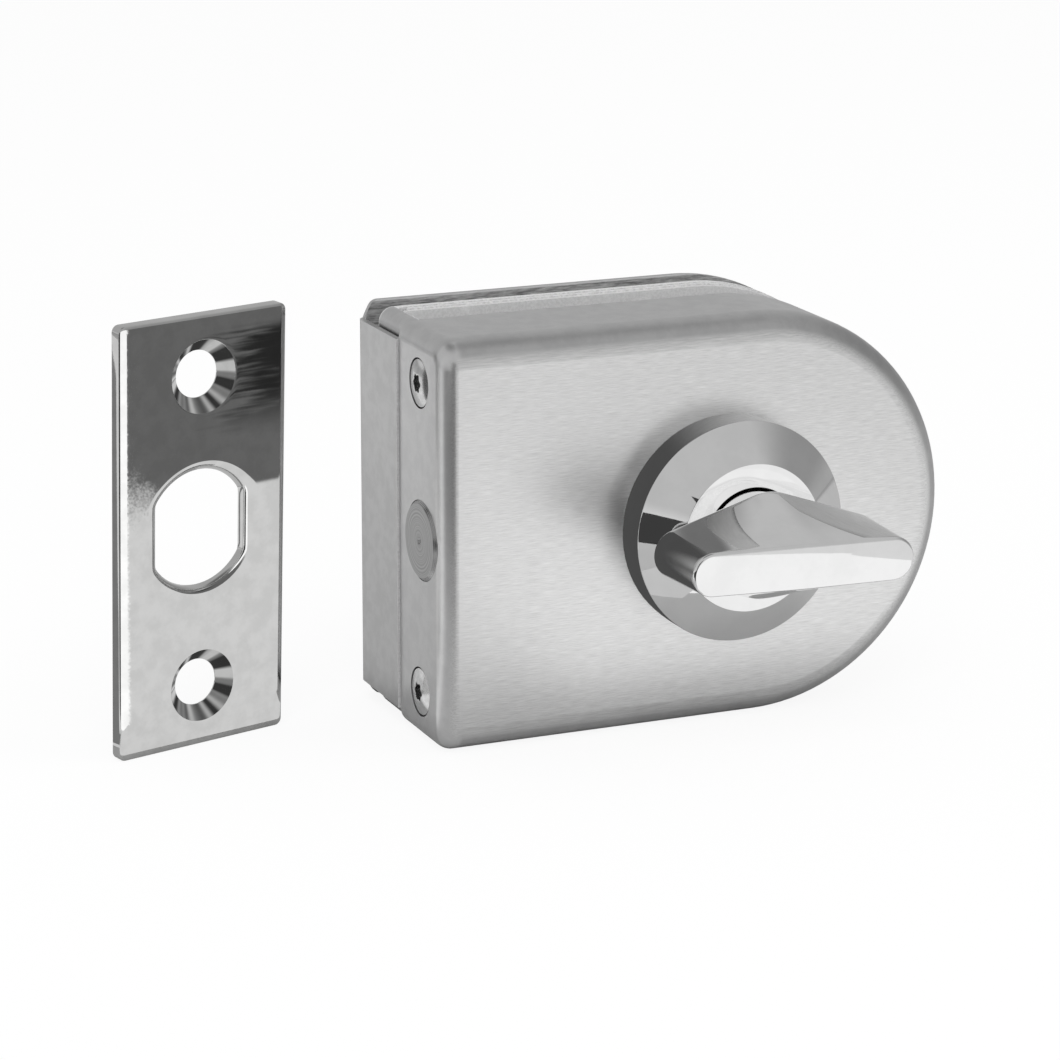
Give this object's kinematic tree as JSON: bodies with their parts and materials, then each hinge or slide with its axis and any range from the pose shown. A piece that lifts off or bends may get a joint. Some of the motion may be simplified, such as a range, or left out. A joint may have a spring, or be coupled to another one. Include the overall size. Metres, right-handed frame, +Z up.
{
  "type": "glass door lock",
  "caption": "Satin steel lock that slides over the edge of a glass door: cone rose, winged thumb-turn throwing a round bolt, loose rear cover, and a polished strike plate.",
  "frame": {"origin": "where the turn's axis meets the front face of the glass, at mid-height of the lock", "axes": "+X along the lock's front to the right, away from the door's edge; +Y from the front to the back, square to the glass; +Z up"},
  "size_m": [0.1441, 0.0672, 0.0738],
  "materials": {
    "satin_steel": "satin, finely brushed along the length",
    "polished_steel": "polished",
    "ground_steel": "turned and ground",
    "cast_zinc": "fine cast skin",
    "bearing_brass": "bored smooth",
    "black_rubber": "matt",
    "white_nylon": "moulded"
  },
  "bodies": {
    "lock": {"lock_body": "satin_steel", "mechanism_cover": "ground_steel", "cover_screws": "ground_steel", "front_gasket": "black_rubber", "edge_pad": "black_rubber", "rear_pad": "black_rubber", "pressure_plate": "ground_steel", "clamp_screws": "ground_steel", "rear_cover": "satin_steel", "stud_sockets": "white_nylon", "bolt_saddle": "cast_zinc", "edge_screws": "polished_steel", "front_bush": "bearing_brass", "rear_bush": "bearing_brass", "rose": "polished_steel", "rose_base": "ground_steel", "rose_screws": "ground_steel", "strike_plate": "polished_steel"},
    "turn": {"thumbturn": "polished_steel", "grub_screw": "ground_steel", "turn_spindle": "ground_steel", "follower": "cast_zinc", "crank_pin": "ground_steel", "pin_roller": "ground_steel", "follower_circlip": "ground_steel", "wave_washer": "ground_steel"},
    "bolt": {"bolt": "ground_steel", "bolt_tail": "ground_steel", "tail_pins": "ground_steel"}
  },
  "joints": [
    {"name": "thumb_turn", "type": "hinge", "parent": "lock", "child": "turn", "pos_m": [0, -0.03, 0], "axis": [0, -1, 0], "range_deg": [0, 90]},
    {"name": "bolt_slide", "type": "slide", "parent": "lock", "child": "bolt", "axis": [-1, 0, 0], "range_m": [0, 0.015]}
  ],
  "couplings": [
    {"joint": "bolt_slide", "follows": "thumb_turn", "m_per_rad": 0.009549}
  ]
}
